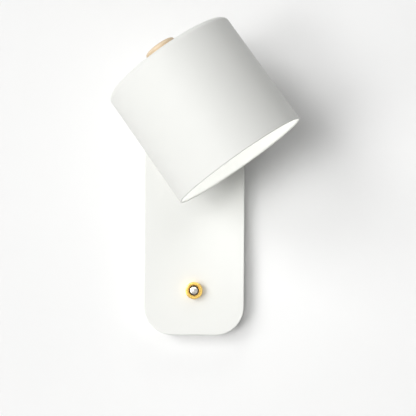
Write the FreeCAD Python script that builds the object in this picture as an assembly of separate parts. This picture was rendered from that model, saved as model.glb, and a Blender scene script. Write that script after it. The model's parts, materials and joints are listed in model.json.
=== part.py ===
import FreeCAD, Part
import math
import os

# Wall lamp with a turning, tilting drum shade on a long wall plate. Millimetres.
# Seen from the front: +X right, +Z up, and the wall is the plane Y = 0 with the lamp
# on its -Y side. The origin is the centre of the wall plate's back.

V = FreeCAD.Vector
X_AXIS = V(1, 0, 0)
Y_AXIS = V(0, 1, 0)
Z_AXIS = V(0, 0, 1)

# ---- clearances ---------------------------------------------------------------------
running_gap = 0.1          # between flat faces that turn or slide past each other
bore_clearance = 0.05      # radial, of a shaft in its bore
fit_gap = 0.2              # between fixed pieces that are pushed into one another
clear_hole = 0.25          # radial, round a screw's shank

# ---- wall plate ---------------------------------------------------------------------
plate_width = 88.0
plate_height = 240.0
plate_depth = 20.0
plate_sheet = 1.5
plate_corner_radius = 25.0
plate_edge_radius = 0.8
plate_above_swivel = 35.4  # from the swivel's centre to the plate's upper edge
button_height = 39.5       # push button centre above the plate's lower edge

# ---- bracket on the wall ------------------------------------------------------------
bracket_height = 132.0
bracket_sheet = 2.0
bracket_corner_radius = 8.0
lug_width = 16.0
lug_depth = 14.0
lug_pitch = 92.0           # between the upper and lower lugs
wall_slot_pitch = 100.0    # wall screws, one above the other
wall_slot_length = 12.0
wall_slot_width = 5.0
box_slot_pitch = 60.0      # screws of a sunk wall box, side by side
box_slot_length = 14.0
box_slot_width = 4.5
cable_hole_radius = 8.0
cable_hole_height = 26.0   # above the plate's centre
grommet_bore_radius = 4.0
grommet_flange_radius = 10.5
grommet_lip = 1.5

# ---- small screws -------------------------------------------------------------------
m3_radius = 1.5
m3_head_radius = 2.8
m3_head_height = 1.9
m4_radius = 2.0
m4_head_radius = 3.8
m4_head_height = 2.4
cover_screw_length = 6.0

# ---- terminals ----------------------------------------------------------------------
terminal_count = 3
terminal_pitch = 11.0
terminal_tower_width = 7.6
terminal_block_height = 17.0
terminal_block_depth = 11.0
terminal_web_depth = 4.0
terminal_block_drop = 27.0  # below the plate's centre
terminal_tube_radius = 2.2
terminal_tube_bore_radius = 1.4
terminal_screw_radius = 1.3
terminal_screw_length = 3.0
terminal_screw_grip = 1.6  # of its length inside the tube
terminal_well_radius = 1.8
earth_inset = 15.3         # from the bracket's side
earth_washer_sheet = 1.2
earth_washer_radius = 4.4
earth_washer_lip = 0.8
earth_washer_lip_sheet = 0.5
clamp_length = 28.0
clamp_width = 8.0
clamp_sheet = 3.0
clamp_drop = 19.0          # below the cable hole
clamp_screw_pitch = 19.0
clamp_arch_radius = 3.8

# ---- push switch --------------------------------------------------------------------
bezel_radius = 7.5
bezel_height = 8.0
bezel_bore_radius = 4.45
bezel_edge_radius = 0.7
bezel_bore_edge = 0.9      # chamfer round the button
barrel_radius = 6.0
barrel_depth = 7.0         # behind the plate's front face
button_radius = 3.45
button_recess = 0.9
button_dome = 0.4
button_thickness = 3.0
button_travel = 2.5
plunger_radius = 2.0
plunger_spare = 0.5        # left behind the button and its plunger when pressed
switch_nut_across = 15.0
switch_nut_thickness = 2.4
switch_body_radius = 6.8
switch_body_depth = 8.6
switch_wall = 1.4
blade_width = 2.0
blade_sheet = 0.6
blade_length = 2.8
blade_pitch = 6.0

# ---- swivel -------------------------------------------------------------------------
shank_radius = 6.0
shank_bore_radius = 3.6
shank_length = 13.0        # behind the fork's flange
shank_flat = 5.0           # from the axis to the flat that keys the stop washer
fork_flange_radius = 16.0
fork_flange_thickness = 2.6
friction_washer_sheet = 1.0
friction_washer_radius = 15.0
stop_washer_sheet = 1.2
stop_washer_radius = 9.6
stop_tab_reach = 14.2
stop_tab_width = 3.4
stop_pin_radius = 1.5
stop_pin_offset = 12.5
stop_pin_height = 3.0
wave_washer_sheet = 1.0
wave_washer_radius = 9.0
swivel_nut_across = 18.0
swivel_nut_thickness = 5.0

# ---- hinge of the shade -------------------------------------------------------------
hinge_stand_off = 11.0     # hinge pin in front of the wall plate
hinge_pin_radius = 2.5
knuckle_radius = 6.0
fork_gap = 18.0
fork_ear_sheet = 3.0
hinge_disc_sheet = 0.8
hinge_disc_radius = 5.6
saddle_sheet = 2.0
saddle_length = 40.0
saddle_ear_sheet = 2.0
saddle_corner_radius = 4.0
saddle_screw_pitch = 28.0
hinge_head_radius = 4.6
hinge_head_height = 3.0
hinge_nut_across = 8.0
hinge_nut_thickness = 4.0
hinge_bolt_end = 0.6       # of the bolt beyond its nut
hinge_washer_sheet = 0.8
hinge_washer_radius = 5.0
flex_hole_radius = 4.0
flex_bore_radius = 2.5
flex_flange_radius = 5.2
flex_lip = 0.9
wall_bow = 0.35            # that a small flat head stands in from the shade's round wall

# ---- shade --------------------------------------------------------------------------
shade_mouth_radius = 60.0
shade_top_radius = 59.1
shade_height = 105.4
shade_sheet = 1.1
shade_edge_radius = 5.0
shade_rim_flat = 0.2       # of the sheet at the mouth, inside its rounded outer edge
mouth_below_pin = 71.4
shade_stand_off = 9.3      # from the hinge pin to the shade's wall
rest_turn = 35.45          # degrees that the shade is turned to the right at rest
rest_tilt = 4.3            # degrees that its mouth leans away from the wall at rest

# ---- knob ---------------------------------------------------------------------------
knob_radius = 13.9
knob_height = 11.8
knob_edge_radius = 2.2
knob_foot_radius = 0.8
insert_radius = 6.5
insert_height = 8.0
nipple_radius = 5.0
nipple_bore_radius = 3.5
nipple_in_knob = 7.0
nipple_nut_across = 15.0
nipple_nut_thickness = 3.0
nipple_washer_radius = 10.5
nipple_washer_sheet = 1.2

# ---- lampholder ---------------------------------------------------------------------
holder_neck_radius = 8.5
holder_neck_height = 5.0
holder_cap_height = 16.0
holder_radius = 19.0
holder_wall = 1.8
holder_shoulder_radius = 6.0
holder_overlap = 4.0       # of the skirt's collar inside the cap
insulator_radius = 14.6
insulator_height = 6.0
shell_radius = 14.1
shell_sheet = 0.4
contact_width = 5.0
contact_sheet = 0.5
contact_rise = 1.6

# ---- lamp bulb ----------------------------------------------------------------------
cap_height = 25.0
cap_sheet = 0.5
tip_radius = 4.8
tip_height = 1.4
collar_height = 12.0
collar_sheet = 1.6
collar_stand_off = 0.5     # between the collar and the lampholder's rim
globe_radius = 22.5
globe_neck_radius = 17.5
globe_sheet = 1.2

# ---- worked out ---------------------------------------------------------------------
plate_front = -plate_depth
plate_inside = plate_front + plate_sheet
swivel_height = plate_height - plate_above_swivel
swivel_z = swivel_height - plate_height / 2
button_z = button_height - plate_height / 2
hinge_point = V(0, plate_front - hinge_stand_off, swivel_z)
lug_face = plate_width / 2 - plate_sheet - fit_gap
earth_offset = lug_face - earth_inset
fork_back = plate_front - friction_washer_sheet - running_gap
fork_front = fork_back - fork_flange_thickness
fork_width = fork_gap + 2 * fork_ear_sheet
saddle_width = fork_gap - 2 * (hinge_disc_sheet + running_gap)
shade_slope = (shade_mouth_radius - shade_top_radius) / shade_height
radius_at_pin = shade_mouth_radius - shade_slope * mouth_below_pin
shade_axis_y = hinge_point.y - shade_stand_off - radius_at_pin
mouth_z = swivel_z - mouth_below_pin
shade_top = V(0, shade_axis_y, mouth_z + shade_height)
holder_top = shade_top.z - shade_sheet - nipple_washer_sheet - nipple_nut_thickness - fit_gap
insulator_top = holder_top - holder_neck_height - holder_wall - 2 * fit_gap
shell_top = insulator_top - insulator_height
bulb_seat = shell_top - contact_sheet - contact_rise
cap_radius = shell_radius - 2 * shell_sheet - 2 * bore_clearance
holder_mouth = bulb_seat - tip_height - cap_height + collar_stand_off
holder_skirt_height = holder_top - holder_neck_height - holder_cap_height - holder_mouth


# ---- helpers ------------------------------------------------------------------------
def cylinder(radius, start, along, length):
    return Part.makeCylinder(radius, length, start, along)


def ring(radius, bore, start, along, length):
    """A tube or a plain washer."""
    return cylinder(radius, start, along, length).cut(cylinder(bore, start, along, length))


def box(width, depth, height, middle):
    """A box about its middle point."""
    return Part.makeBox(width, depth, height, middle - V(width / 2, depth / 2, height / 2))


def outline_of(steps):
    """A closed wire of lines, and of an arc wherever a step is a (through, end) pair."""
    edges = []
    last = steps[0]
    for step in steps[1:] + [steps[0]]:
        if isinstance(step, tuple):
            edges.append(Part.Arc(last, step[0], step[1]).toShape())
            last = step[1]
        elif last.distanceToPoint(step) > 1e-6:
            edges.append(Part.LineSegment(last, step).toShape())
            last = step
    return Part.Wire(edges)


def turned(profile, start, along):
    """A turned piece. Its profile is drawn as (radius, distance from start along the axis),
    and a step of four numbers is an arc through one such point to another."""
    steps = [V(p[0], 0, p[1]) if len(p) == 2 else (V(p[0], 0, p[1]), V(p[2], 0, p[3]))
             for p in profile]
    body = Part.Face(outline_of(steps)).revolve(V(0, 0, 0), Z_AXIS, 360)
    body.Placement = FreeCAD.Placement(start, FreeCAD.Rotation(Z_AXIS, along))
    return body


def arc_to(centre_radius, centre_along, radius, from_degrees, to_degrees):
    """The arc step of a turned profile: a part of a circle, by its centre and two angles."""
    middle = math.radians((from_degrees + to_degrees) / 2)
    end = math.radians(to_degrees)
    return (centre_radius + radius * math.cos(middle), centre_along + radius * math.sin(middle),
            centre_radius + radius * math.cos(end), centre_along + radius * math.sin(end))


def hexagon(across, start, along, length):
    reach = across / math.sqrt(3)
    corners = [V(reach * math.cos(k * math.pi / 3), reach * math.sin(k * math.pi / 3), 0)
               for k in range(6)]
    prism = Part.Face(Part.makePolygon(corners + corners[:1])).extrude(V(0, 0, length))
    prism.Placement = FreeCAD.Placement(start, FreeCAD.Rotation(Z_AXIS, along))
    return prism


def nut(across, thickness, bore, start, along):
    """A hexagon nut, chamfered on the face that is away from its seat."""
    reach = across / math.sqrt(3)
    fall = (reach - across / 2) * 0.6
    crown = turned([(0, 0), (reach, 0), (reach, thickness - fall), (across / 2, thickness),
                    (0, thickness)], start, along)
    body = hexagon(across, start, along, thickness).common(crown)
    return body.cut(cylinder(bore, start, along, thickness))


def socket_screw(radius, length, head_radius, head_height, seat, along):
    """A round-headed screw. Its head's underside is at seat and its shank runs along."""
    top = -head_height
    tip = radius * 0.35
    profile = [(0, top), (head_radius * 0.5, top),
               (head_radius * 0.88, top * 0.78, head_radius, top * 0.3), (head_radius, 0),
               (radius, 0), (radius, length - tip), (radius - tip, length), (0, length)]
    recess = hexagon(radius * 1.2, seat - along * head_height, along, head_height * 0.5)
    return turned(profile, seat, along).cut(recess)


def flush_screw(top, along):
    """A countersunk screw whose flat head lies level with top."""
    cone = m3_head_radius - m3_radius
    tip = m3_radius * 0.35
    profile = [(0, 0), (m3_head_radius, 0), (m3_radius, cone), (m3_radius, cover_screw_length - tip),
               (m3_radius - tip, cover_screw_length), (0, cover_screw_length)]
    return turned(profile, top, along).cut(hexagon(m3_radius * 1.3, top, along, cone))


def countersink(top, along):
    """The hole that a countersunk screw lies in."""
    cone = m3_head_radius - m3_radius
    wide = m3_head_radius + fit_gap
    narrow = m3_radius + fit_gap
    profile = [(0, -1), (wide, -1), (wide, 0), (narrow, cone), (narrow, 2 * cone), (0, 2 * cone)]
    return turned(profile, top, along)


def upright_plate(width, height, radius, front, back):
    """A plate in the XZ plane with rounded corners, between two Y levels."""
    slab = box(width, back - front, height, V(0, (front + back) / 2, 0))
    uprights = [e for e in slab.Edges if abs(e.Vertexes[0].Y - e.Vertexes[-1].Y) > 1e-6]
    return slab.makeFillet(radius, uprights)


def level_slot(length, width, centre, run):
    """A round-ended slot through the bracket's sheet."""
    side = run.cross(Y_AXIS)
    reach = run * ((length - width) / 2)
    half = width / 2
    a, b = centre - reach, centre + reach
    wire = outline_of([a - side * half, b - side * half, (b + run * half, b + side * half),
                       a + side * half, (a - run * half, a - side * half)])
    face = Part.Face(wire)
    face.translate(Y_AXIS * -(bracket_sheet + 1))
    return face.extrude(Y_AXIS * (bracket_sheet + 2))


def turned_with_fork(shape):
    """Brings a piece, drawn as the shade hangs straight down, to the swivel's rest place."""
    piece = shape.copy()
    piece.rotate(hinge_point, Y_AXIS, -rest_turn)
    return piece


def hung(shape):
    """The same for the pieces that also tilt with the shade."""
    piece = shape.copy()
    piece.rotate(hinge_point, X_AXIS, -rest_tilt)
    return turned_with_fork(piece)


def one(shape):
    """The single solid of a result, without leftover seams."""
    if len(shape.Solids) != 1:
        raise ValueError("expected one solid, got %d" % len(shape.Solids))
    return shape.removeSplitter().Solids[0]


# ---- wall plate and its bracket -----------------------------------------------------
def cover_screw_places():
    """(side, point on the cover's side face) of each screw that holds the cover."""
    middle = plate_front / 2
    return [(side, V(side * plate_width / 2, middle, level * lug_pitch / 2))
            for side in (-1, 1) for level in (-1, 1)]


def make_plate_cover():
    outer = upright_plate(plate_width, plate_height, plate_corner_radius, plate_front, 0)
    rim = [e for e in outer.Edges if all(abs(v.Y - plate_front) < 1e-6 for v in e.Vertexes)]
    outer = outer.makeFillet(plate_edge_radius, rim)
    inner = upright_plate(plate_width - 2 * plate_sheet, plate_height - 2 * plate_sheet,
                          plate_corner_radius - plate_sheet, plate_inside, 1)
    depth = 2 * plate_sheet
    ahead = plate_front - plate_sheet / 2
    holes = [cylinder(shank_radius + bore_clearance, V(0, ahead, swivel_z), Y_AXIS, depth),
             cylinder(barrel_radius + fit_gap / 2, V(0, ahead, button_z), Y_AXIS, depth),
             cylinder(stop_pin_radius, V(0, ahead, swivel_z + stop_pin_offset), Y_AXIS, depth)]
    holes += [countersink(place, X_AXIS * -side) for side, place in cover_screw_places()]
    return one(outer.cut([inner] + holes))


def make_wall_bracket():
    plate = upright_plate(2 * lug_face, bracket_height, bracket_corner_radius, -bracket_sheet, 0)
    lugs = []
    for side, place in cover_screw_places():
        lug = box(bracket_sheet, lug_depth, lug_width,
                  V(side * (lug_face - bracket_sheet / 2), -lug_depth / 2, place.z))
        tips = [e for e in lug.Edges if all(abs(v.Y + lug_depth) < 1e-6 for v in e.Vertexes)
                and abs(e.Vertexes[0].X - e.Vertexes[-1].X) > 1e-6]
        lugs.append(lug.makeFillet(lug_width / 4, tips))
    plate = plate.fuse(lugs)
    holes = [cylinder(m3_radius, place, X_AXIS * -side, 8) for side, place in cover_screw_places()]
    for level in (-1, 1):
        holes.append(level_slot(wall_slot_length, wall_slot_width,
                                V(0, 0, level * wall_slot_pitch / 2), Z_AXIS))
    for side in (-1, 1):
        holes.append(level_slot(box_slot_length, box_slot_width,
                                V(side * box_slot_pitch / 2, 0, 0), X_AXIS))
    drilled = [(cable_hole_radius, V(0, 0, cable_hole_height)), (m4_radius, earth_point()),
               (m3_radius, block_screw_point())]
    drilled += [(m3_radius, place) for place in clamp_screw_points()]
    holes += [cylinder(radius, V(place.x, 1, place.z), -Y_AXIS, bracket_sheet + 2)
              for radius, place in drilled]
    return one(plate.cut(holes))


def make_cover_screws():
    return [flush_screw(place, X_AXIS * -side) for side, place in cover_screw_places()]


def make_cable_grommet():
    neck = cable_hole_radius - fit_gap / 2
    rim = bracket_sheet + grommet_lip
    edge = grommet_lip * 0.6
    profile = [(grommet_bore_radius, 0), (neck, 0), (neck, bracket_sheet),
               (grommet_flange_radius, bracket_sheet), (grommet_flange_radius, rim - edge),
               arc_to(grommet_flange_radius - edge, rim - edge, edge, 0, 90), (grommet_bore_radius, rim)]
    return turned(profile, V(0, 0, cable_hole_height), -Y_AXIS)


# ---- terminals, earth and cable clamp -----------------------------------------------
def terminal_columns():
    return [(k - (terminal_count - 1) / 2) * terminal_pitch for k in range(terminal_count)]


def terminal_screw_points():
    """Where each terminal screw meets its tube's front wall."""
    return [V(x, -bracket_sheet - terminal_block_depth / 2 - terminal_tube_radius, z)
            for x in terminal_columns()
            for z in (-terminal_block_drop - terminal_block_height / 4,
                      -terminal_block_drop + terminal_block_height / 4)]


def block_screw_point():
    """Under the head of the screw that holds the terminal block, in a gap between poles."""
    return V(terminal_pitch / 2, -bracket_sheet - terminal_web_depth, -terminal_block_drop)


def tube_start(x):
    return V(x, -bracket_sheet - terminal_block_depth / 2,
             -terminal_block_drop - terminal_block_height / 2)


def make_terminal_block():
    block = box(terminal_count * terminal_pitch, terminal_web_depth, terminal_block_height,
                V(0, -bracket_sheet - terminal_web_depth / 2, -terminal_block_drop))
    front = -bracket_sheet - terminal_block_depth
    towers = []
    for x in terminal_columns():
        tower = box(terminal_tower_width, terminal_block_depth, terminal_block_height,
                    V(x, front + terminal_block_depth / 2, -terminal_block_drop))
        rim = [e for e in tower.Edges if all(abs(v.Y - front) < 1e-6 for v in e.Vertexes)]
        towers.append(tower.makeFillet(1.0, rim))
    block = block.fuse(towers)
    cuts = [cylinder(terminal_tube_radius, tube_start(x), Z_AXIS, terminal_block_height)
            for x in terminal_columns()]
    cuts += [cylinder(terminal_well_radius, V(p.x, front - 1, p.z), Y_AXIS, p.y - front + 2)
             for p in terminal_screw_points()]
    seat = block_screw_point()
    cuts += [cylinder(m3_head_radius + fit_gap, seat, -Y_AXIS, terminal_block_depth),
             cylinder(m3_radius + clear_hole, seat - Y_AXIS, Y_AXIS, terminal_web_depth + 2)]
    return one(block.cut(cuts))


def make_terminal_tubes():
    inset = terminal_block_height * 0.06
    tubes = []
    for x in terminal_columns():
        start = tube_start(x) + Z_AXIS * inset
        tube = ring(terminal_tube_radius, terminal_tube_bore_radius, start, Z_AXIS,
                    terminal_block_height - 2 * inset)
        for point in terminal_screw_points():
            if abs(point.x - x) < 1e-6:
                tube = tube.cut(cylinder(terminal_screw_radius, point - Y_AXIS, Y_AXIS,
                                         terminal_tube_radius + 1))
        tubes.append(tube)
    return tubes


def make_terminal_screws():
    """Slotted grub screws, standing a little out of their tubes."""
    screws = []
    for point in terminal_screw_points():
        start = point - Y_AXIS * (terminal_screw_length - terminal_screw_grip)
        screw = cylinder(terminal_screw_radius, start, Y_AXIS, terminal_screw_length)
        slit = box(2 * terminal_screw_radius, terminal_screw_length * 0.4, 0.5, start)
        screws.append(screw.cut(slit))
    return screws


def make_block_screw():
    return socket_screw(m3_radius, terminal_web_depth + bracket_sheet, m3_head_radius,
                        m3_head_height, block_screw_point(), Y_AXIS)


def earth_point():
    return V(-earth_offset, -bracket_sheet - earth_washer_sheet, cable_hole_height)


def make_earth_washer():
    """A cupped washer: its lip keeps the wire under the screw's head."""
    inner = earth_washer_radius - earth_washer_lip_sheet
    lip = earth_washer_sheet + earth_washer_lip
    profile = [(m4_radius + clear_hole, 0), (earth_washer_radius, 0), (earth_washer_radius, lip),
               (inner, lip), (inner, earth_washer_sheet), (m4_radius + clear_hole, earth_washer_sheet)]
    return turned(profile, earth_point() + Y_AXIS * earth_washer_sheet, -Y_AXIS)


def make_earth_screw():
    return socket_screw(m4_radius, earth_washer_sheet + bracket_sheet, m4_head_radius,
                        m4_head_height, earth_point(), Y_AXIS)


def clamp_screw_points():
    return [V(side * clamp_screw_pitch / 2, -bracket_sheet - clamp_sheet, cable_hole_height - clamp_drop)
            for side in (-1, 1)]


def make_cable_clamp():
    z = cable_hole_height - clamp_drop
    strap = box(clamp_length, clamp_sheet, clamp_width, V(0, -bracket_sheet - clamp_sheet / 2, z))
    ends = [e for e in strap.Edges if abs(e.Vertexes[0].Y - e.Vertexes[-1].Y) > 1e-6]
    strap = strap.makeFillet(clamp_width * 0.4, ends)
    foot = V(0, -bracket_sheet, z - clamp_width / 2)
    arch = cylinder(clamp_arch_radius + clamp_sheet * 0.7, foot, Z_AXIS, clamp_width)
    ahead = box(clamp_length, clamp_length, clamp_width, V(0, -bracket_sheet - clamp_length / 2, z))
    strap = strap.fuse(arch.common(ahead))
    strap = strap.cut(cylinder(clamp_arch_radius, foot, Z_AXIS, clamp_width))
    return one(strap.cut([cylinder(m3_radius + clear_hole, p - Y_AXIS, Y_AXIS, clamp_sheet + 2)
                          for p in clamp_screw_points()]))


def make_clamp_screws():
    return [socket_screw(m3_radius, clamp_sheet + bracket_sheet, m3_head_radius, m3_head_height,
                         p, Y_AXIS) for p in clamp_screw_points()]


# ---- push switch --------------------------------------------------------------------
def switch_place(depth):
    """A point on the switch's axis, by its depth behind the plate's front face."""
    return V(0, plate_front + depth, button_z)


def make_switch_bezel():
    front = -bezel_height
    edge = bezel_edge_radius
    profile = [(bezel_bore_radius, front + bezel_bore_edge), (bezel_bore_radius + bezel_bore_edge, front),
               (bezel_radius - edge, front), arc_to(bezel_radius - edge, front + edge, edge, -90, 0),
               (bezel_radius, 0), (barrel_radius, 0), (barrel_radius, barrel_depth),
               (bezel_bore_radius, barrel_depth)]
    return turned(profile, switch_place(0), Y_AXIS)


def make_switch_nut():
    return nut(switch_nut_across, switch_nut_thickness, barrel_radius + bore_clearance,
               switch_place(plate_sheet), Y_AXIS)


def make_push_button():
    front = -bezel_height + button_recess
    back = front + button_thickness
    rim = button_radius - button_dome
    profile = [(0, front - button_dome), (rim * 0.6, front - button_dome * 0.75, rim, front),
               arc_to(rim, front + button_dome, button_dome, -90, 0), (button_radius, back),
               (plunger_radius, back), (plunger_radius, barrel_depth - button_dome), (0, barrel_depth)]
    return turned(profile, switch_place(0), Y_AXIS)


def make_switch_body():
    """The contact block: its guide reaches up the barrel round the button's plunger."""
    guide = plunger_radius + bore_clearance
    reach = -bezel_height + button_recess + button_thickness + button_travel + plunger_spare
    end = barrel_depth + switch_body_depth
    well = barrel_depth + button_travel + plunger_spare
    profile = [(guide, reach), (bezel_bore_radius - bore_clearance, reach),
               (bezel_bore_radius - bore_clearance, barrel_depth), (switch_body_radius, barrel_depth),
               (switch_body_radius, end - switch_wall), (switch_body_radius - switch_wall, end),
               (0, end), (0, well), (guide, well)]
    return turned(profile, switch_place(0), Y_AXIS)


def make_switch_blades():
    depth = barrel_depth + switch_body_depth + blade_length / 2
    blades = []
    for side in (-1, 1):
        place = switch_place(depth) + X_AXIS * (side * blade_pitch / 2)
        blade = box(blade_sheet, blade_length, blade_width, place)
        blades.append(blade.cut(cylinder(blade_width / 4, place - X_AXIS, X_AXIS, 2)))
    return blades


# ---- swivel -------------------------------------------------------------------------
def on_swivel(y):
    return V(0, y, swivel_z)


def shank_section(radius, start_y, length):
    """A round bar on the swivel axis with the flat that keys the stop washer."""
    bar = cylinder(radius, on_swivel(start_y), Y_AXIS, length)
    beyond = V(0, start_y + length / 2, swivel_z + shank_flat + radius - shank_radius + radius / 2)
    return bar.cut(box(3 * radius, length, radius, beyond))


def make_friction_washer():
    return ring(friction_washer_radius, shank_radius + fit_gap, on_swivel(plate_front), -Y_AXIS,
                friction_washer_sheet)


def make_stop_pin():
    return cylinder(stop_pin_radius, on_swivel(plate_front) + Z_AXIS * stop_pin_offset, Y_AXIS,
                    plate_sheet + stop_pin_height)


def fork_ear(side):
    """One ear of the fork: it rises from the flange and is rounded about the hinge pin."""
    inner = side * fork_gap / 2
    outer = side * fork_width / 2
    foot = math.sqrt(fork_flange_radius ** 2 - (fork_width / 2) ** 2)
    start = min(inner, outer)
    wire = outline_of([V(start, fork_front, swivel_z - foot),
                       V(start, hinge_point.y, swivel_z - knuckle_radius),
                       (V(start, hinge_point.y - knuckle_radius, swivel_z),
                        V(start, hinge_point.y, swivel_z + knuckle_radius)),
                       V(start, fork_front, swivel_z + foot)])
    return Part.Face(wire).extrude(X_AXIS * fork_ear_sheet)


def make_swivel_fork():
    flange = cylinder(fork_flange_radius, on_swivel(fork_front), Y_AXIS, fork_flange_thickness)
    shank_start = fork_back
    plain = friction_washer_sheet + running_gap + plate_sheet + running_gap
    shank = cylinder(shank_radius, on_swivel(shank_start), Y_AXIS, plain)
    keyed = shank_section(shank_radius, shank_start + plain, shank_length - plain)
    body = flange.fuse([shank, keyed, fork_ear(-1), fork_ear(1)])
    body = body.cut([cylinder(shank_bore_radius, on_swivel(fork_front - 1), Y_AXIS, shank_length + 8),
                     cylinder(hinge_pin_radius + bore_clearance, hinge_point - X_AXIS * fork_width,
                              X_AXIS, 2 * fork_width)])
    return turned_with_fork(one(body))


def stack_start():
    """Y of the first face behind the cover's sheet on the shank."""
    return plate_inside + running_gap


def make_stop_washer():
    y = stack_start()
    disc = cylinder(stop_washer_radius, on_swivel(y), Y_AXIS, stop_washer_sheet)
    tab = box(stop_tab_width, stop_washer_sheet, stop_tab_reach,
              V(0, y + stop_washer_sheet / 2, swivel_z - stop_tab_reach / 2))
    tip = [e for e in tab.Edges if abs(e.Vertexes[0].Y - e.Vertexes[-1].Y) > 1e-6
           and e.Vertexes[0].Z < swivel_z - stop_tab_reach / 2]
    washer = disc.fuse(tab.makeFillet(stop_tab_width / 3, tip))
    key = shank_section(shank_radius + bore_clearance, y, stop_washer_sheet)
    return turned_with_fork(one(washer.cut(key)))


def make_wave_washer():
    start = on_swivel(stack_start() + stop_washer_sheet)
    return turned_with_fork(ring(wave_washer_radius, shank_radius + fit_gap, start, Y_AXIS,
                                 wave_washer_sheet))


def make_swivel_nut():
    start = on_swivel(stack_start() + stop_washer_sheet + wave_washer_sheet)
    return turned_with_fork(nut(swivel_nut_across, swivel_nut_thickness,
                                shank_radius + bore_clearance, start, Y_AXIS))


# ---- hinge --------------------------------------------------------------------------
def on_pin(x):
    return hinge_point + X_AXIS * x


def make_hinge_discs():
    """Plastic discs between the fork's ears and the saddle's."""
    return [turned_with_fork(ring(hinge_disc_radius, hinge_pin_radius + bore_clearance,
                                  on_pin(side * fork_gap / 2), X_AXIS * -side, hinge_disc_sheet))
            for side in (-1, 1)]


def make_hinge_washers():
    return [turned_with_fork(ring(hinge_washer_radius, hinge_pin_radius + bore_clearance,
                                  on_pin(side * fork_width / 2), X_AXIS * side, hinge_washer_sheet))
            for side in (-1, 1)]


def make_hinge_bolt():
    seat = fork_width / 2 + hinge_washer_sheet
    length = 2 * seat + hinge_nut_thickness + hinge_bolt_end
    bolt = socket_screw(hinge_pin_radius, length, hinge_head_radius, hinge_head_height,
                        on_pin(-seat), X_AXIS)
    return turned_with_fork(bolt)


def make_hinge_nut():
    seat = fork_width / 2 + hinge_washer_sheet
    return turned_with_fork(nut(hinge_nut_across, hinge_nut_thickness,
                                hinge_pin_radius + bore_clearance, on_pin(seat), X_AXIS))


# ---- shade --------------------------------------------------------------------------
def shade_radius(z):
    return shade_mouth_radius - shade_slope * (z - mouth_z)


def wall_cone(thicker):
    """A solid of the shade's straight side, made thicker all round."""
    low = mouth_z - 1
    high = shade_top.z + 1
    return Part.makeCone(shade_radius(low) + thicker, shade_radius(high) + thicker, high - low,
                         V(0, shade_axis_y, low), Z_AXIS)


def saddle_screw_points():
    """On the hinge's side of the shade's wall, where the saddle's screws go through."""
    return [V(0, shade_axis_y, swivel_z + side * saddle_screw_pitch / 2) for side in (-1, 1)]


def saddle_screw_seat(place):
    return place + Y_AXIS * (shade_radius(place.z) - shade_sheet - wall_bow)


def make_shade():
    edge = shade_edge_radius
    inner_edge = shade_edge_radius - shade_sheet
    lip = shade_sheet - shade_rim_flat
    rim = shade_height - lip
    fillet_end = shade_radius(shade_top.z - edge)
    rim_radius = shade_radius(mouth_z + lip)
    profile = [(nipple_radius + fit_gap, 0), (fillet_end - edge, 0),
               arc_to(fillet_end - edge, edge, edge, -90, 0), (rim_radius, rim),
               arc_to(rim_radius - lip, rim, lip, 0, 90),
               (shade_mouth_radius - shade_sheet, shade_height), (fillet_end - shade_sheet, edge),
               arc_to(fillet_end - edge, edge, inner_edge, 0, -90),
               (nipple_radius + fit_gap, shade_sheet)]
    shell = turned(profile, shade_top, -Z_AXIS)
    holes = [cylinder(m4_radius + clear_hole, place, Y_AXIS, 2 * shade_mouth_radius)
             for place in saddle_screw_points()]
    flex = V(0, shade_axis_y, swivel_z)
    holes.append(cylinder(flex_hole_radius, flex, Y_AXIS, 2 * shade_mouth_radius))
    return hung(one(shell.cut(holes)))


def saddle_blank(thickness, width, length):
    """A piece of sheet bent round the shade's wall behind it."""
    sheet = wall_cone(thickness).cut(wall_cone(0))
    cutter = box(width, shade_mouth_radius, length,
                 V(0, shade_axis_y + shade_mouth_radius, swivel_z))
    corners = [e for e in cutter.Edges if abs(e.Vertexes[0].Y - e.Vertexes[-1].Y) > 1e-6]
    return sheet.common(cutter.makeFillet(saddle_corner_radius, corners))


def saddle_ear(side):
    start = side * saddle_width / 2 - (saddle_ear_sheet if side > 0 else 0)
    wall = shade_axis_y + radius_at_pin - shade_sheet / 2
    foot = saddle_screw_pitch / 2 - m4_head_radius
    wire = outline_of([V(start, wall, swivel_z - foot), V(start, wall, swivel_z + foot),
                       V(start, hinge_point.y, swivel_z + knuckle_radius),
                       (V(start, hinge_point.y + knuckle_radius, swivel_z),
                        V(start, hinge_point.y, swivel_z - knuckle_radius))])
    return Part.Face(wire).extrude(X_AXIS * saddle_ear_sheet)


def make_saddle():
    sheet = saddle_blank(saddle_sheet, saddle_width, saddle_length)
    ears = [saddle_ear(side).cut(wall_cone(0)) for side in (-1, 1)]
    body = sheet.fuse(ears)
    cuts = [cylinder(m4_radius, place, Y_AXIS, 2 * shade_mouth_radius)
            for place in saddle_screw_points()]
    cuts += [cylinder(flex_flange_radius + fit_gap, V(0, shade_axis_y, swivel_z), Y_AXIS,
                      2 * shade_mouth_radius),
             cylinder(hinge_pin_radius + bore_clearance, on_pin(-fork_width), X_AXIS, 2 * fork_width)]
    return hung(one(body.cut(cuts)))


def make_saddle_screws():
    screws = []
    for place in saddle_screw_points():
        seat = saddle_screw_seat(place)
        length = shade_radius(place.z) + saddle_sheet - (seat.y - shade_axis_y)
        screws.append(hung(socket_screw(m4_radius, length, m4_head_radius, m4_head_height,
                                        seat, Y_AXIS)))
    return screws


def make_flex_grommet():
    """The rubber bush that the flex enters the shade through."""
    neck = flex_hole_radius - fit_gap / 2
    inside = radius_at_pin - shade_sheet - wall_bow * 0.7
    outside = radius_at_pin + wall_bow * 0.4
    profile = [(flex_bore_radius, inside - flex_lip), (flex_flange_radius, inside - flex_lip),
               (flex_flange_radius, inside), (neck, inside), (neck, outside),
               (flex_flange_radius, outside), (flex_flange_radius, outside + flex_lip),
               (flex_bore_radius, outside + flex_lip)]
    return hung(turned(profile, V(0, shade_axis_y, swivel_z), Y_AXIS))


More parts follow.
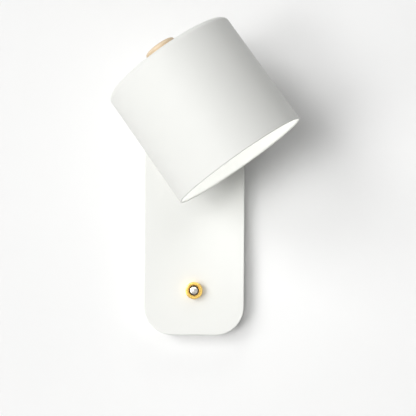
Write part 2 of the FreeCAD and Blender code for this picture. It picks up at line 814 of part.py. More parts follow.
# ---- knob and its hollow stud -------------------------------------------------------
def on_axis(z):
    return V(0, shade_axis_y, z)


def make_knob():
    top = knob_height
    edge = knob_edge_radius
    foot = knob_foot_radius
    profile = [(insert_radius, 0), (knob_radius - foot, 0),
               arc_to(knob_radius - foot, foot, foot, -90, 0), (knob_radius, top - edge),
               arc_to(knob_radius - edge, top - edge, edge, 0, 90), (0, top), (0, insert_height),
               (insert_radius, insert_height)]
    return hung(turned(profile, shade_top, Z_AXIS))


def make_knob_insert():
    return hung(ring(insert_radius, nipple_radius + bore_clearance, shade_top, Z_AXIS, insert_height))


def make_nipple():
    start = shade_top + Z_AXIS * nipple_in_knob
    length = start.z - (holder_top - holder_neck_height)
    return hung(ring(nipple_radius, nipple_bore_radius, start, -Z_AXIS, length))


def make_nipple_washer():
    return hung(ring(nipple_washer_radius, nipple_radius + fit_gap,
                     shade_top - Z_AXIS * shade_sheet, -Z_AXIS, nipple_washer_sheet))


def make_nipple_nut():
    start = shade_top - Z_AXIS * (shade_sheet + nipple_washer_sheet)
    return hung(nut(nipple_nut_across, nipple_nut_thickness, nipple_radius + bore_clearance,
                    start, -Z_AXIS))


# ---- lampholder ---------------------------------------------------------------------
def make_holder_cap():
    """The domed upper half, screwed on the hollow stud."""
    neck = holder_neck_height
    end = neck + holder_cap_height
    round_ = holder_shoulder_radius
    inner = round_ - holder_wall
    bore = nipple_radius + bore_clearance
    profile = [(bore, 0), (holder_neck_radius, 0), (holder_neck_radius, neck),
               (holder_radius - round_, neck),
               arc_to(holder_radius - round_, neck + round_, round_, -90, 0), (holder_radius, end),
               (holder_radius - holder_wall, end), (holder_radius - holder_wall, neck + round_),
               arc_to(holder_radius - round_, neck + round_, inner, 0, -90),
               (bore, neck + holder_wall)]
    return hung(turned(profile, on_axis(holder_top), -Z_AXIS))


def make_holder_skirt():
    """The lower half, with a collar that goes up inside the cap."""
    wall = holder_wall
    collar = holder_radius - wall - fit_gap / 2
    end = holder_skirt_height
    profile = [(collar - wall, -holder_overlap), (collar, -holder_overlap), (collar, 0), (holder_radius, 0),
               (holder_radius, end - wall), arc_to(holder_radius - wall, end - wall, wall, 0, 90),
               (holder_radius - wall - 1, end), (shell_radius + fit_gap, end),
               (shell_radius + fit_gap, end - wall), (collar - wall, end - wall)]
    return hung(turned(profile, on_axis(holder_mouth + holder_skirt_height), -Z_AXIS))


def make_holder_insulator():
    """The ceramic disc that carries the contacts, with a foot up to the stud."""
    foot = holder_neck_radius - holder_wall
    profile = [(0, -fit_gap), (foot, -fit_gap), (foot, 0), (insulator_radius, 0),
               (insulator_radius, insulator_height), (0, insulator_height)]
    return hung(turned(profile, on_axis(insulator_top), -Z_AXIS))


def make_screw_shell():
    """The threaded sleeve; its rounded rings stand for the thread's turns."""
    depth = shell_top - holder_mouth - fit_gap
    turns = 5
    pitch = depth / turns
    rise = shell_sheet
    outer, inner = shell_radius - rise, shell_radius - rise - shell_sheet
    profile = [(contact_width, 0), (outer, 0)]
    for k in range(turns):
        profile.append((outer + rise, (k + 0.5) * pitch, outer, (k + 1) * pitch))
    profile.append((inner, depth))
    for k in reversed(range(turns)):
        low = shell_sheet if k == 0 else k * pitch
        profile.append((inner + rise, (k + 0.5) * pitch, inner, low))
    profile.append((contact_width, shell_sheet))
    return hung(turned(profile, on_axis(shell_top), -Z_AXIS))


def make_centre_contact():
    """A bent spring strip that presses on the bulb's tip."""
    half = contact_width * 0.8
    sheet = contact_sheet
    low = shell_top - contact_rise
    y = -contact_width / 4
    wire = outline_of([V(-half, y, shell_top), V(half, y, shell_top), V(half, y, shell_top - sheet),
                       V(half * 0.7, y, shell_top - sheet), V(half * 0.45, y, low - sheet),
                       V(-half * 0.45, y, low - sheet), V(-half * 0.45, y, low), V(half * 0.25, y, low),
                       V(half * 0.5, y, shell_top - sheet), V(-half, y, shell_top - sheet)])
    strip = Part.Face(wire).extrude(Y_AXIS * (contact_width / 2))
    strip.translate(V(0, shade_axis_y, 0))
    return hung(one(strip))


# ---- bulb ---------------------------------------------------------------------------
def make_bulb_tip():
    profile = [(0, 0), (tip_radius * 0.6, 0), (tip_radius, tip_height), (cap_radius - 2, tip_height + 1.5),
               (cap_radius - 2, tip_height + 2.5), (0, tip_height + 2.5)]
    return hung(turned(profile, on_axis(bulb_seat), -Z_AXIS))


def make_bulb_cap():
    start = tip_height + 2.5
    end = tip_height + cap_height
    pitch = (end - start) / 5
    rise = cap_sheet
    outer, inner = cap_radius - rise, cap_radius - rise - cap_sheet
    profile = [(inner, start), (outer, start)]
    for k in range(5):
        profile.append((outer + rise, start + (k + 0.5) * pitch, outer, start + (k + 1) * pitch))
    profile.append((inner, end))
    return hung(turned(profile, on_axis(bulb_seat), -Z_AXIS))


def globe_centre():
    return tip_height + cap_height + collar_height + math.sqrt(globe_radius ** 2 - globe_neck_radius ** 2)


def make_bulb_collar():
    """The plastic body between the bulb's cap and its globe."""
    start = tip_height + cap_height
    end = start + collar_height
    neck = cap_radius + fit_gap
    wide = globe_neck_radius
    sheet = collar_sheet
    profile = [(neck - sheet, start), (neck, start), (neck, start + 2),
               (wide - 1.4, start + collar_height * 0.45, wide, end), (wide - sheet, end),
               (wide - 1.4 - sheet, start + collar_height * 0.45, neck - sheet, start + 2)]
    return hung(turned(profile, on_axis(bulb_seat), -Z_AXIS))


def make_bulb_globe():
    end = tip_height + cap_height + collar_height
    centre = globe_centre()
    inner = globe_radius - globe_sheet
    inner_neck = math.sqrt(inner ** 2 - (centre - end) ** 2)
    profile = [(globe_neck_radius, end), (globe_radius, centre, 0, centre + globe_radius),
               (0, centre + inner), (inner, centre, inner_neck, end)]
    return hung(turned(profile, on_axis(bulb_seat), -Z_AXIS))


# ---- the parts ----------------------------------------------------------------------
nodes = {
    "plate_cover": make_plate_cover,
    "wall_bracket": make_wall_bracket,
    "cover_screws": make_cover_screws,
    "cable_grommet": make_cable_grommet,
    "terminal_block": make_terminal_block,
    "terminal_tubes": make_terminal_tubes,
    "terminal_screws": make_terminal_screws,
    "block_screw": make_block_screw,
    "earth_washer": make_earth_washer,
    "earth_screw": make_earth_screw,
    "cable_clamp": make_cable_clamp,
    "clamp_screws": make_clamp_screws,
    "switch_bezel": make_switch_bezel,
    "switch_nut": make_switch_nut,
    "switch_body": make_switch_body,
    "switch_blades": make_switch_blades,
    "push_button": make_push_button,
    "friction_washer": make_friction_washer,
    "stop_pin": make_stop_pin,
    "swivel_fork": make_swivel_fork,
    "stop_washer": make_stop_washer,
    "wave_washer": make_wave_washer,
    "swivel_nut": make_swivel_nut,
    "hinge_discs": make_hinge_discs,
    "hinge_washers": make_hinge_washers,
    "hinge_bolt": make_hinge_bolt,
    "hinge_nut": make_hinge_nut,
    "shade": make_shade,
    "shade_saddle": make_saddle,
    "saddle_screws": make_saddle_screws,
    "flex_grommet": make_flex_grommet,
    "wooden_knob": make_knob,
    "knob_insert": make_knob_insert,
    "hollow_stud": make_nipple,
    "stud_washer": make_nipple_washer,
    "stud_nut": make_nipple_nut,
    "lampholder_cap": make_holder_cap,
    "lampholder_skirt": make_holder_skirt,
    "lampholder_insulator": make_holder_insulator,
    "lampholder_shell": make_screw_shell,
    "centre_contact": make_centre_contact,
    "bulb_tip": make_bulb_tip,
    "bulb_cap": make_bulb_cap,
    "bulb_collar": make_bulb_collar,
    "bulb_globe": make_bulb_globe,
}

os.makedirs("parts", exist_ok=True)
for name, make in nodes.items():
    made = make()
    shape = Part.makeCompound(made) if isinstance(made, list) else made
    if not shape.isValid() or shape.Volume <= 0:
        raise ValueError("the solid of " + name + " is not valid")
    shape.exportStep("parts/" + name + ".step")
    size = shape.BoundBox
    print("%-22s solids %d  %6.1f x %5.1f x %5.1f mm" % (name, len(shape.Solids), size.XLength,
                                                        size.YLength, size.ZLength))
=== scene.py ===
import json
import math

import bmesh
import bpy
from mathutils import Matrix, Vector


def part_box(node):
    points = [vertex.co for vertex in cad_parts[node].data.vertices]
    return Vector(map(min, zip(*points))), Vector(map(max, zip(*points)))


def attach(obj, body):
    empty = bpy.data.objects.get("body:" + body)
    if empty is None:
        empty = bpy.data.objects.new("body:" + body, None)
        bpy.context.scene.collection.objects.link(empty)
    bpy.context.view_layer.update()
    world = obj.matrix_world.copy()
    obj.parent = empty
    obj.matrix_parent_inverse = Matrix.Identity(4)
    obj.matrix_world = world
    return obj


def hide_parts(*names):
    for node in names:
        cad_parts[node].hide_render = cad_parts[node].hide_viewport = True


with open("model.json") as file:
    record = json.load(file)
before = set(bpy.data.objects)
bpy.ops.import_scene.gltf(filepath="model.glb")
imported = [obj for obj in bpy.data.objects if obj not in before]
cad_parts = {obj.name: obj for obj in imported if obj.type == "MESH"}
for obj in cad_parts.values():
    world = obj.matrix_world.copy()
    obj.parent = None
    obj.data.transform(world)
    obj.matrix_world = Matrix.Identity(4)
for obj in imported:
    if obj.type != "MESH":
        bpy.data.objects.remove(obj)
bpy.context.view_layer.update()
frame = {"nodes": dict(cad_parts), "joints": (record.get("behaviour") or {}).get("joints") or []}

# Wall reading lamp, in metres and watts. +X is right and +Z up as someone facing the wall sees
# it; the wall is the plane Y = 0 and the lamp stands out along -Y.

MM = 0.001

# ---- places and sizes taken from the frame -------------------------------------------
joints = {joint["name"]: joint for joint in frame["joints"]}
hinge_pin = Vector(joints["head_tilt"]["pos_m"])
pin_axis = -Vector(joints["head_tilt"]["axis"]).normalized()
rest_turn = math.atan2(pin_axis.z, pin_axis.x)
plate_low, plate_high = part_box("plate_cover")
ring_low, ring_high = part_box("switch_bezel")

# ---- sizes of the turned pieces, as they are made ------------------------------------
rest_tilt = math.radians(4.3)
shade_mouth_radius = 60.0 * MM
shade_top_radius = 59.1 * MM
shade_height = 105.4 * MM
shade_sheet = 1.1 * MM
shade_edge_radius = 5.0 * MM
shade_rim_flat = 0.2 * MM
mouth_below_pin = 71.4 * MM
shade_stand_off = 9.3 * MM
knob_radius = 13.9 * MM
knob_height = 11.8 * MM
knob_edge_radius = 2.2 * MM
knob_foot_radius = 0.8 * MM

shade_slope = (shade_mouth_radius - shade_top_radius) / shade_height
shade_axis_y = hinge_pin.y - shade_stand_off - (shade_mouth_radius - shade_slope * mouth_below_pin)
shade_top = Vector((0, shade_axis_y, hinge_pin.z - mouth_below_pin + shade_height))
head_place = (Matrix.Translation(hinge_pin) @ Matrix.Rotation(-rest_turn, 4, "Y")
              @ Matrix.Rotation(-rest_tilt, 4, "X") @ Matrix.Translation(-hinge_pin))

# ---- finishes ------------------------------------------------------------------------
coat_colour = (0.815, 0.82, 0.79)
coat_roughness = 0.6
orange_peel = 0.00002               # depth of the sprayed coats' coarse relief
wave_width = 0.314                  # of one ring of a wave texture whose scale is 1
mix_colour_a = 6                    # sockets of a Mix node that mixes colours
mix_colour_b = 7
mix_colour_result = 2

# ---- meshes --------------------------------------------------------------------------
merge_distance = 1e-7
on_the_edge = 1e-6                  # how near its place a corner of a turned edge is
smooth_below = math.radians(35.0)   # faces that meet at less than this are shaded as one

# ---- wall and floor ------------------------------------------------------------------
wall_reach = 3.0
wall_hole_inset = 2.0 * MM          # from the plate's outline
wall_hole_corner = 23.0 * MM
floor_reach = 1.0
floor_middle = (0.0, -1.0, -1.3)

# ---- light ---------------------------------------------------------------------------
lamp_middle = Vector((0.0, -0.05, 0.03))
studio_reach = 12.0                 # from the lamp to the softboxes in front of the wall
air_strength = 0.095                # of the surroundings on diffuse surfaces
bulb_glow = 0.6                     # of the lit bulb's glass
mouth_power = 0.042                 # on the inside of the shade
mouth_light_gap = 0.5 * MM          # between its disk and the shade's wall
mouth_light_depth = 0.7 * MM        # of its disk inside the mouth
spill_power = 0.15                  # of the bulb's light that falls out of the mouth

# ---- camera --------------------------------------------------------------------------
camera_place = (0.0119, -1.305, -0.0080)
camera_roll = math.radians(-0.33)
camera_sensor_mm = 36.0
camera_lens_mm = 126.1


# ---- materials -----------------------------------------------------------------------
class Finish:
    """A material under construction: the shader and short calls for the nodes that feed it."""

    def __init__(self, name, colour, roughness, metallic=0.0):
        self.material = bpy.data.materials.new(name)
        self.material.use_nodes = True
        self.tree = self.material.node_tree
        self.shader = self.tree.nodes["Principled BSDF"]
        self.shader.inputs["Base Color"].default_value = (*colour, 1.0)
        self.shader.inputs["Roughness"].default_value = roughness
        self.shader.inputs["Metallic"].default_value = metallic
        self.coords = self.tree.nodes.new("ShaderNodeTexCoord").outputs["Object"]

    def node(self, kind, **settings):
        made = self.tree.nodes.new("ShaderNode" + kind)
        for name, value in settings.items():
            setattr(made, name, value)
        return made

    def link(self, source, target):
        self.tree.links.new(source, target)

    def placed(self, matrix=None, stretch=(1.0, 1.0, 1.0)):
        """Object coordinates seen from a piece's own place and stretched along its axes."""
        inverse = matrix.inverted() if matrix else Matrix.Identity(4)
        mapping = self.node("Mapping")
        self.link(self.coords, mapping.inputs["Vector"])
        mapping.inputs["Location"].default_value = inverse.to_translation()
        mapping.inputs["Rotation"].default_value = inverse.to_euler()
        scaled = self.node("VectorMath", operation="MULTIPLY")
        self.link(mapping.outputs["Vector"], scaled.inputs[0])
        scaled.inputs[1].default_value = stretch
        return scaled.outputs["Vector"]

    def noise(self, scale, detail=3.0, coords=None, rough=0.5):
        made = self.node("TexNoise")
        made.inputs["Scale"].default_value = scale
        made.inputs["Detail"].default_value = detail
        made.inputs["Roughness"].default_value = rough
        self.link(coords or self.coords, made.inputs["Vector"])
        return made.outputs["Fac"]

    def between(self, value, low, high, start=0.3, end=0.7):
        """Turns a 0 to 1 pattern into numbers between low and high."""
        made = self.node("MapRange")
        made.inputs["From Min"].default_value = start
        made.inputs["From Max"].default_value = end
        made.inputs["To Min"].default_value = low
        made.inputs["To Max"].default_value = high
        self.link(value, made.inputs["Value"])
        return made.outputs["Result"]

    def ramp(self, value, *stops):
        """Colours along a 0 to 1 pattern, each stop a (place, colour) pair."""
        made = self.node("ValToRGB")
        elements = made.color_ramp.elements
        while len(elements) < len(stops):
            elements.new(0.5)
        for element, (place, colour) in zip(elements, stops):
            element.position = place
            element.color = (*colour, 1.0)
        self.link(value, made.inputs["Fac"])
        return made.outputs["Color"]

    def colour(self, output):
        self.link(output, self.shader.inputs["Base Color"])

    def roughness(self, output):
        self.link(output, self.shader.inputs["Roughness"])

    def bump(self, height, distance, strength=1.0, under=None):
        """Relief from a 0 to 1 pattern, distance metres deep, on top of the relief under it."""
        made = self.node("Bump")
        made.inputs["Strength"].default_value = strength
        made.inputs["Distance"].default_value = distance
        self.link(height, made.inputs["Height"])
        if under:
            self.link(under, made.inputs["Normal"])
        self.link(made.outputs["Normal"], self.shader.inputs["Normal"])
        return made.outputs["Normal"]


def shade_of(colour, factor):
    return tuple(channel * factor for channel in colour)


def powder_coat(name, colour, roughness):
    """Sprayed and baked paint: an even colour, a fine orange peel and faint cloudiness."""
    paint = Finish(name, colour, roughness)
    cloud = paint.noise(14.0, 2.0)
    paint.colour(paint.ramp(cloud, (0.3, shade_of(colour, 0.985)), (0.7, colour)))
    paint.roughness(paint.between(paint.noise(90.0, 4.0), roughness - 0.05, roughness + 0.05))
    coarse = paint.bump(paint.noise(620.0, 2.0), orange_peel)
    paint.bump(paint.noise(2600.0, 2.0), orange_peel * 0.35, under=coarse)
    return paint.material


def turned_wood(name, place):
    """Pale close-grained wood, its grain across the turning axis: fibres and short pores along X."""
    deep, plain, pale = (0.60, 0.45, 0.29), (0.69, 0.54, 0.37), (0.74, 0.60, 0.43)
    pore_tint = (0.62, 0.50, 0.40, 1.0)
    wood = Finish(name, plain, 0.5)
    along = wood.placed(place, (0.16, 1.0, 1.0))
    wander = wood.noise(60.0, 3.0, along)
    rings = wood.node("TexWave", wave_type="BANDS", bands_direction="Z", wave_profile="SIN")
    wood.link(along, rings.inputs["Vector"])
    rings.inputs["Scale"].default_value = 75.0
    rings.inputs["Distortion"].default_value = 3.2
    rings.inputs["Detail"].default_value = 2.5
    rings.inputs["Detail Scale"].default_value = 1.6
    fibres = wood.noise(1500.0, 4.0, wood.placed(place, (0.05, 1.0, 1.0)), 0.6)
    pores = wood.noise(2300.0, 1.0, wood.placed(place, (0.08, 1.0, 1.0)))
    blend = wood.node("Mix", data_type="FLOAT")
    blend.inputs["Factor"].default_value = 0.42
    wood.link(rings.outputs["Fac"], blend.inputs["A"])
    wood.link(fibres, blend.inputs["B"])
    grain = wood.ramp(blend.outputs["Result"], (0.18, deep), (0.5, plain), (0.85, pale))
    speckled = wood.node("Mix", data_type="RGBA", blend_type="MULTIPLY")
    wood.link(wood.between(pores, 0.0, 0.45, 0.62, 0.74), speckled.inputs["Factor"])
    wood.link(grain, speckled.inputs[mix_colour_a])
    speckled.inputs[mix_colour_b].default_value = pore_tint
    wood.colour(speckled.outputs[mix_colour_result])
    wood.roughness(wood.between(wander, 0.44, 0.58))
    wood.bump(blend.outputs["Result"], 0.00004)
    return wood.material


def worked_metal(name, colour, roughness, spread=0.08, lines=None):
    """Bare or plated metal with uneven polish. Lines runs the tool marks: (x, y, z) stretch."""
    metal = Finish(name, colour, roughness, 1.0)
    coords = metal.placed(stretch=lines) if lines else metal.coords
    marks = metal.noise(1800.0, 5.0, coords, 0.6)
    patches = metal.noise(120.0, 3.0)
    metal.colour(metal.ramp(patches, (0.3, shade_of(colour, 0.93)), (0.7, colour)))
    metal.roughness(metal.between(marks, roughness - spread, roughness + spread))
    metal.bump(marks, 0.000006)
    return metal.material


def lathe_metal(name, colour, roughness, place, pitch, uneven=0.9):
    """Metal turned on a lathe: rings round the piece's own axis, as wide as the tool's pitch.
    The last argument sets how dark its darker specks are: an uneven tone of the metal, and on the
    silver button also painted reflection mottling."""
    metal = Finish(name, colour, roughness, 1.0)
    coords = metal.placed(place)
    rings = metal.node("TexWave", wave_type="RINGS", rings_direction="Z", wave_profile="SIN")
    metal.link(coords, rings.inputs["Vector"])
    rings.inputs["Scale"].default_value = wave_width / pitch
    rings.inputs["Distortion"].default_value = 0.4
    rings.inputs["Detail"].default_value = 1.0
    specks = metal.noise(900.0, 3.0, coords)
    metal.colour(metal.ramp(specks, (0.36, shade_of(colour, uneven)), (0.62, colour)))
    metal.roughness(metal.between(specks, roughness - 0.05, roughness + 0.05))
    metal.bump(rings.outputs["Fac"], 0.000002, 0.6)
    return metal.material


def moulded(name, colour, roughness):
    """Moulded plastic or rubber with a fine spark-eroded grain."""
    plastic = Finish(name, colour, roughness)
    cloud = plastic.noise(35.0, 2.0)
    plastic.colour(plastic.ramp(cloud, (0.3, shade_of(colour, 0.95)), (0.7, colour)))
    handled = plastic.noise(300.0, 3.0)
    plastic.roughness(plastic.between(handled, roughness - 0.06, roughness + 0.06))
    plastic.bump(plastic.noise(900.0, 2.0), 0.00001)
    return plastic.material


def fired_ceramic(name, colour):
    """Unglazed ceramic with a dry, uneven face."""
    clay = Finish(name, colour, 0.7)
    clay.colour(clay.ramp(clay.noise(260.0, 5.0), (0.35, shade_of(colour, 0.86)), (0.65, colour)))
    clay.roughness(clay.between(clay.noise(700.0, 3.0), 0.6, 0.8))
    clay.bump(clay.noise(1200.0, 4.0), 0.00003)
    return clay.material


def opal_glass(name, colour):
    """White diffusing bulb glass, switched on."""
    glass = Finish(name, colour, 0.32)
    glass.shader.inputs["Emission Color"].default_value = (1.0, 1.0, 1.0, 1.0)
    glass.shader.inputs["Emission Strength"].default_value = bulb_glow
    glass.shader.inputs["Subsurface Weight"].default_value = 0.25
    glass.shader.inputs["Subsurface Scale"].default_value = 0.004
    glass.shader.inputs["Coat Weight"].default_value = 0.3
    glass.colour(glass.ramp(glass.noise(30.0, 2.0), (0.3, shade_of(colour, 0.97)), (0.7, colour)))
    glass.roughness(glass.between(glass.noise(160.0, 3.0), 0.26, 0.36))
    glass.bump(glass.noise(300.0, 2.0), 0.00001)
    return glass.material


def one_way(name, colour, roughness):
    """A pale surface that is seen from its front only, so that a view from behind the wall
    shows the back of the lamp."""
    surface = Finish(name, colour, roughness)
    cloud = surface.noise(8.0, 3.0)
    surface.colour(surface.ramp(cloud, (0.3, shade_of(colour, 0.99)), (0.7, colour)))
    surface.bump(surface.noise(500.0, 3.0), 0.00003)
    output = surface.tree.nodes["Material Output"]
    side = surface.node("NewGeometry")
    clear = surface.node("BsdfTransparent")
    switch = surface.node("MixShader")
    surface.link(side.outputs["Backfacing"], switch.inputs["Fac"])
    surface.link(surface.shader.outputs["BSDF"], switch.inputs[1])
    surface.link(clear.outputs["BSDF"], switch.inputs[2])
    surface.link(switch.outputs["Shader"], output.inputs["Surface"])
    return surface.material


# ---- making pieces -------------------------------------------------------------------
def finished(name, mesh_data, matrix, material):
    """Turns a bmesh into a piece whose place is in its mesh."""
    bmesh.ops.remove_doubles(mesh_data, verts=mesh_data.verts, dist=merge_distance)
    bmesh.ops.recalc_face_normals(mesh_data, faces=mesh_data.faces)
    mesh_data.transform(matrix)
    mesh = bpy.data.meshes.new(name)
    mesh_data.to_mesh(mesh)
    mesh_data.free()
    mesh.materials.append(material)
    mesh.shade_smooth()
    mesh.set_sharp_from_angle(angle=smooth_below)
    piece = bpy.data.objects.new(name, mesh)
    bpy.context.scene.collection.objects.link(piece)
    return piece


def spun(profile, rounds, steps):
    """A bmesh turned about +Z from corners (radius, height) that start and end on the axis.
    Rounds are (corner, radius, segments) of the edges that are then rounded off."""
    made = bmesh.new()
    corners = [made.verts.new((radius, 0.0, height)) for radius, height in profile]
    edges = [made.edges.new(pair) for pair in zip(corners, corners[1:])]
    bmesh.ops.spin(made, geom=corners + edges, cent=(0, 0, 0), axis=(0, 0, 1),
                   angle=math.tau, steps=steps, use_merge=True)
    bmesh.ops.remove_doubles(made, verts=made.verts, dist=merge_distance)
    bmesh.ops.recalc_face_normals(made, faces=made.faces)
    for corner, radius, segments in rounds:
        at_radius, at_height = profile[corner]
        hoop = [edge for edge in made.edges
                if all(abs(math.hypot(v.co.x, v.co.y) - at_radius) < on_the_edge
                       and abs(v.co.z - at_height) < on_the_edge for v in edge.verts)]
        bmesh.ops.bevel(made, geom=hoop, offset=radius, segments=segments, profile=0.5,
                        affect="EDGES", material=-1, clamp_overlap=True)
    return made


def stand_in(piece, node, body):
    """Shows a piece in the place of a CAD node."""
    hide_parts(node)
    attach(piece, body)
    return piece


# ---- the shade and its knob ----------------------------------------------------------
def make_shade(paint):
    """The spun drum: profile from the closed top's middle, down outside and up inside."""
    height, sheet = shade_height, shade_sheet
    profile = [(0.0, 0.0), (shade_top_radius, 0.0), (shade_mouth_radius, -height),
               (shade_mouth_radius - sheet, -height), (shade_top_radius - sheet, -sheet),
               (0.0, -sheet)]
    rounds = [(1, shade_edge_radius, 12), (4, shade_edge_radius - sheet, 8),
              (2, sheet - shade_rim_flat, 6)]
    shell = spun(profile, rounds, steps=192)
    place = head_place @ Matrix.Translation(shade_top)
    return stand_in(finished("drum_shade", shell, place, paint), "shade", "head")


def make_knob():
    """The wooden knob on the shade's top, rounded at its foot and at its upper edge."""
    place = head_place @ Matrix.Translation(shade_top)
    profile = [(0.0, 0.0), (knob_radius, 0.0), (knob_radius, knob_height), (0.0, knob_height)]
    rounds = [(1, knob_foot_radius, 4), (2, knob_edge_radius, 8)]
    turned = spun(profile, rounds, steps=144)
    wood = turned_wood("pale_wood_turned", place)
    stand_in(finished("turned_wooden_knob", turned, place, wood),
             "wooden_knob", "head")


# ---- finishes of the pieces that the frame already shapes ----------------------------
def dress(material, *nodes):
    for node in nodes:
        mesh = frame["nodes"][node].data
        mesh.materials.clear()
        mesh.materials.append(material)


def dress_plate():
    """The wall plate, the bracket behind it and the push switch."""
    switch_middle = Matrix.Translation((ring_low + ring_high) / 2)
    switch_place = switch_middle @ Matrix.Rotation(math.pi / 2, 4, "X")
    dress(powder_coat("white_plate_coat", coat_colour, coat_roughness), "plate_cover")
    dress(worked_metal("zinc_plated_sheet", (0.70, 0.71, 0.70), 0.36, spread=0.1,
                       lines=(1.0, 1.0, 0.2)), "wall_bracket")
    dress(lathe_metal("gold_plated_ring", (0.88, 0.59, 0.16), 0.11, switch_place,
                      pitch=0.00025), "switch_bezel")
    # the button's darker specks are painted reflection mottling as well as uneven tone of the metal
    dress(lathe_metal("silver_button_face", (0.66, 0.63, 0.58), 0.18, switch_place,
                      pitch=0.0002, uneven=0.55), "push_button")
    dress(worked_metal("nickel_plate", (0.74, 0.72, 0.68), 0.25), "switch_nut")
    dress(moulded("black_switch_plastic", (0.03, 0.03, 0.032), 0.45), "switch_body")


def dress_hinge():
    """The swivel's fork and the saddle that holds the shade. Their bolt is a fitting."""
    dress(powder_coat("white_hinge_coat", (0.82, 0.825, 0.79), 0.42), "swivel_fork", "shade_saddle")


def dress_fittings():
    """The steel, brass, rubber and nylon pieces, wherever they sit."""
    steel = worked_metal("zinc_plated_screws", (0.66, 0.66, 0.67), 0.34)
    brass = worked_metal("plain_brass", (0.80, 0.60, 0.28), 0.32)
    rubber = moulded("black_rubber", (0.03, 0.03, 0.03), 0.75)
    nylon = moulded("natural_nylon", (0.82, 0.81, 0.76), 0.5)
    dress(steel, "cover_screws", "terminal_screws", "block_screw", "clamp_screws", "earth_screw",
          "stop_pin", "stop_washer", "wave_washer", "swivel_nut", "hinge_washers", "hinge_bolt",
          "hinge_nut", "saddle_screws", "hollow_stud", "stud_washer", "stud_nut")
    dress(brass, "terminal_tubes", "earth_washer", "knob_insert", "lampholder_shell",
          "centre_contact", "switch_blades")
    dress(rubber, "cable_grommet", "flex_grommet")
    dress(nylon, "terminal_block", "cable_clamp", "friction_washer", "hinge_discs")


def dress_bulb():
    """The lampholder and the bulb in it."""
    dress(moulded("white_lampholder_plastic", (0.86, 0.86, 0.84), 0.38),
          "lampholder_cap", "lampholder_skirt")
    dress(fired_ceramic("lampholder_ceramic", (0.84, 0.82, 0.77)), "lampholder_insulator")
    dress(worked_metal("bulb_cap_metal", (0.80, 0.80, 0.79), 0.24), "bulb_tip", "bulb_cap")
    dress(moulded("bulb_collar_plastic", (0.88, 0.88, 0.87), 0.3), "bulb_collar")
    dress(opal_glass("opal_bulb_glass", (0.93, 0.93, 0.91)), "bulb_globe")


# ---- wall and floor ------------------------------------------------------------------
def make_wall(material):
    """A wall with a hole a little inside the wall plate's outline."""
    wall = bmesh.new()
    bmesh.ops.create_grid(wall, x_segments=1, y_segments=1, size=wall_reach)
    bmesh.ops.delete(wall, geom=list(wall.faces), context="FACES_ONLY")
    half_x, half_z = plate_high.x - wall_hole_inset, plate_high.z - wall_hole_inset
    hole = [wall.verts.new((x * half_x, z * half_z, 0.0))
            for x, z in ((-1, -1), (1, -1), (1, 1), (-1, 1))]
    for k in range(4):
        wall.edges.new((hole[k], hole[(k + 1) % 4]))
    bmesh.ops.bevel(wall, geom=hole, offset=wall_hole_corner, segments=8, profile=0.5,
                    affect="VERTICES", material=-1)
    bmesh.ops.triangle_fill(wall, edges=list(wall.edges), use_beauty=True)
    backdrop = finished("backdrop_wall", wall, Matrix.Rotation(math.pi / 2, 4, "X"), material)
    if backdrop.data.polygons[0].normal.y > 0:
        backdrop.data.flip_normals()
    return backdrop


def make_floor(material):
    floor = bmesh.new()
    bmesh.ops.create_grid(floor, x_segments=1, y_segments=1, size=floor_reach)
    finished("studio_floor", floor, Matrix.Translation(floor_middle), material)


# ---- light and camera ----------------------------------------------------------------
def hang_light(name, light, place, heading):
    holder = bpy.data.objects.new(name, light)
    holder.location = place
    holder.rotation_euler = heading.to_track_quat("-Z", "Y").to_euler()
    bpy.context.scene.collection.objects.link(holder)
    return holder


def softbox(name, turn, rise, size, power, distance=studio_reach):
    """An area light that looks at the lamp. Turn is its angle to the right of the wall's
    normal and rise its angle above it, both in degrees, and size its width and height."""
    light = bpy.data.lights.new(name, "AREA")
    light.shape = "RECTANGLE"
    light.size, light.size_y = size
    light.energy = power
    across, up = math.radians(turn), math.radians(rise)
    away = Vector((math.sin(across) * math.cos(up), -math.cos(across) * math.cos(up), math.sin(up)))
    hang_light(name, light, lamp_middle + away * distance, -away)


def light_mouth():
    """A disk of light just inside the mouth that shines into the shade and tips with it."""
    light = bpy.data.lights.new("mouth_light", "AREA")
    light.shape = "DISK"
    light.size = 2 * (shade_mouth_radius - shade_sheet - mouth_light_gap)
    light.energy = mouth_power
    mouth = head_place @ (shade_top - Vector((0, 0, shade_height - mouth_light_depth)))
    into = head_place.to_3x3() @ Vector((0, 0, 1))
    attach(hang_light("mouth_light", light, mouth, into), "head")


def light_spill(lit, shading):
    """The lit bulb's light that leaves the mouth. It falls on the lit pieces only, and only
    the shading ones hold it back."""
    light = bpy.data.lights.new("bulb_spill", "POINT")
    light.energy = spill_power
    globe_low, globe_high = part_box("bulb_globe")
    light.shadow_soft_size = (globe_high.x - globe_low.x) / 2
    holder = hang_light("bulb_spill", light, (globe_low + globe_high) / 2, Vector((0, 0, -1)))
    receivers = bpy.data.collections.new("lit_by_the_spill")
    blockers = bpy.data.collections.new("shading_the_spill")
    for collection, pieces in ((receivers, lit), (blockers, shading)):
        for piece in pieces:
            collection.objects.link(piece)
    holder.light_linking.receiver_collection = receivers
    holder.light_linking.blocker_collection = blockers
    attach(holder, "head")


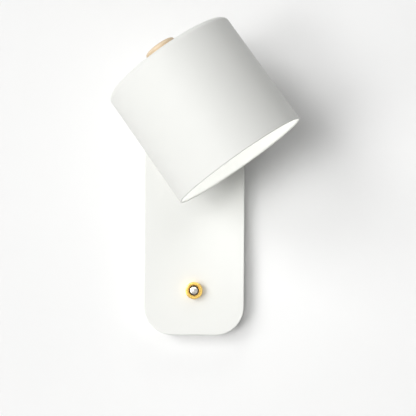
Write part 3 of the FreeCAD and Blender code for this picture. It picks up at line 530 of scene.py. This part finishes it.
def light_air():
    """White surroundings: at full strength to the camera and in reflections, faint as light."""
    world = bpy.data.worlds.new("studio_air")
    bpy.context.scene.world = world
    world.use_nodes = True
    tree = world.node_tree
    air = tree.nodes["Background"]
    air.inputs["Color"].default_value = (1.0, 1.0, 1.0, 1.0)
    rays = tree.nodes.new("ShaderNodeLightPath").outputs

    def either(one, other):
        made = tree.nodes.new("ShaderNodeMath")
        made.operation = "MAXIMUM"
        tree.links.new(one, made.inputs[0])
        tree.links.new(other, made.inputs[1])
        return made.outputs["Value"]

    mirrored = either(rays["Is Glossy Ray"], rays["Is Transmission Ray"])
    seen = either(rays["Is Camera Ray"], mirrored)
    strength = tree.nodes.new("ShaderNodeMapRange")
    strength.inputs["To Min"].default_value = air_strength
    strength.inputs["To Max"].default_value = 1.0
    tree.links.new(seen, strength.inputs["Value"])
    tree.links.new(strength.outputs["Result"], air.inputs["Strength"])


def light_studio(shade, wall):
    softbox("key_softbox", turn=-14.5, rise=4.5, size=(4.6, 2.8), power=358.0)
    softbox("upper_softbox", turn=-38.0, rise=20.0, size=(5.4, 3.6), power=440.0)
    softbox("left_softbox", turn=-32.6, rise=-9.0, size=(3.6, 3.4), power=318.0)
    softbox("left_high_softbox", turn=-31.0, rise=8.0, size=(3.6, 3.4), power=154.0)
    softbox("top_softbox", turn=5.0, rise=25.0, size=(4.8, 4.8), power=133.0)
    softbox("side_softbox", turn=-60.0, rise=-5.0, size=(4.9, 4.9), power=74.0)
    softbox("low_softbox", turn=45.0, rise=-30.0, size=(4.9, 4.9), power=38.0)
    softbox("back_softbox", turn=190.0, rise=20.0, size=(1.2, 1.2), power=25.0, distance=1.8)
    light_mouth()
    nodes = frame["nodes"]
    plate = nodes["plate_cover"]
    light_spill([wall, plate, nodes["switch_bezel"], nodes["push_button"]], [shade, plate])
    light_air()


def set_camera():
    """Straight on, a little right of and below the wall plate's middle, and 1.3 m away."""
    lens = bpy.data.cameras.new("photo_view")
    lens.sensor_width = camera_sensor_mm
    lens.lens = camera_lens_mm
    camera = bpy.data.objects.new("photo_view", lens)
    camera.location = camera_place
    camera.rotation_euler = (math.radians(90), camera_roll, 0.0)
    bpy.context.scene.collection.objects.link(camera)
    bpy.context.scene.camera = camera


# ---- the whole scene -----------------------------------------------------------------
set_camera()
dress_plate()
dress_hinge()
dress_fittings()
dress_bulb()
shade = make_shade(powder_coat("white_powder_coat", coat_colour, coat_roughness))
make_knob()
wall = make_wall(one_way("wall_paint", (0.90, 0.90, 0.895), 0.8))
make_floor(one_way("floor_paint", (0.88, 0.88, 0.87), 0.8))
light_studio(shade, wall)
bpy.context.scene.view_settings.view_transform = "Standard"
